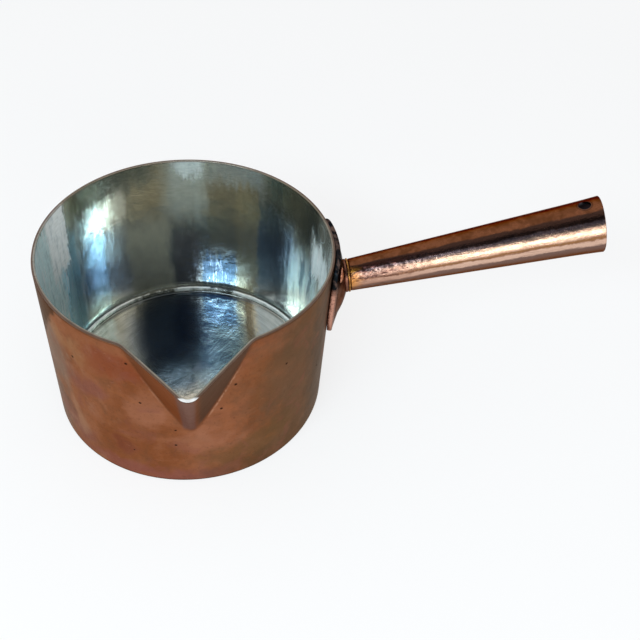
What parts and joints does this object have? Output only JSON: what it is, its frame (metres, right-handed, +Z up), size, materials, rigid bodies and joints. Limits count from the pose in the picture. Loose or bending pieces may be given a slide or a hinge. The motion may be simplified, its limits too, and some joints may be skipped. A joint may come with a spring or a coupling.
{
  "type": "pastry pan",
  "caption": "Straight-sided copper pastry pan with a V-shaped pouring spout, a tinned inside and a long hollow copper handle riveted on through a flared plate.",
  "frame": {"origin": "centre of the flat underside, on the surface that the pan stands on", "axes": "+Z up, +X along the handle away from the pan, -Y from the pan's centre towards the spout"},
  "size_m": [0.3148, 0.1901, 0.1253],
  "materials": {
    "copper_body": "satin copper with a mottled brown and rose patina",
    "copper_bottom": "satin copper, darker, with fine rubbing marks",
    "brass_seam": "dull brass run into a joint",
    "tin": "hand-wiped tin, streaked, with soft blurred reflections",
    "copper_handle": "worn polished copper with small dents and scratches",
    "copper_rivet": "satin copper, worn bright on the heads"
  },
  "bodies": {
    "root": {"pan_wall": "copper_body", "pan_bottom": "copper_bottom", "bottom_seam_ring": "brass_seam", "tin_lining": "tin", "handle_flange": "copper_handle", "handle_joint_ring": "brass_seam", "handle_tube": "copper_handle", "rivet_upper_front": "copper_rivet", "rivet_upper_back": "copper_rivet", "rivet_lower": "copper_rivet"}
  },
  "joints": []
}
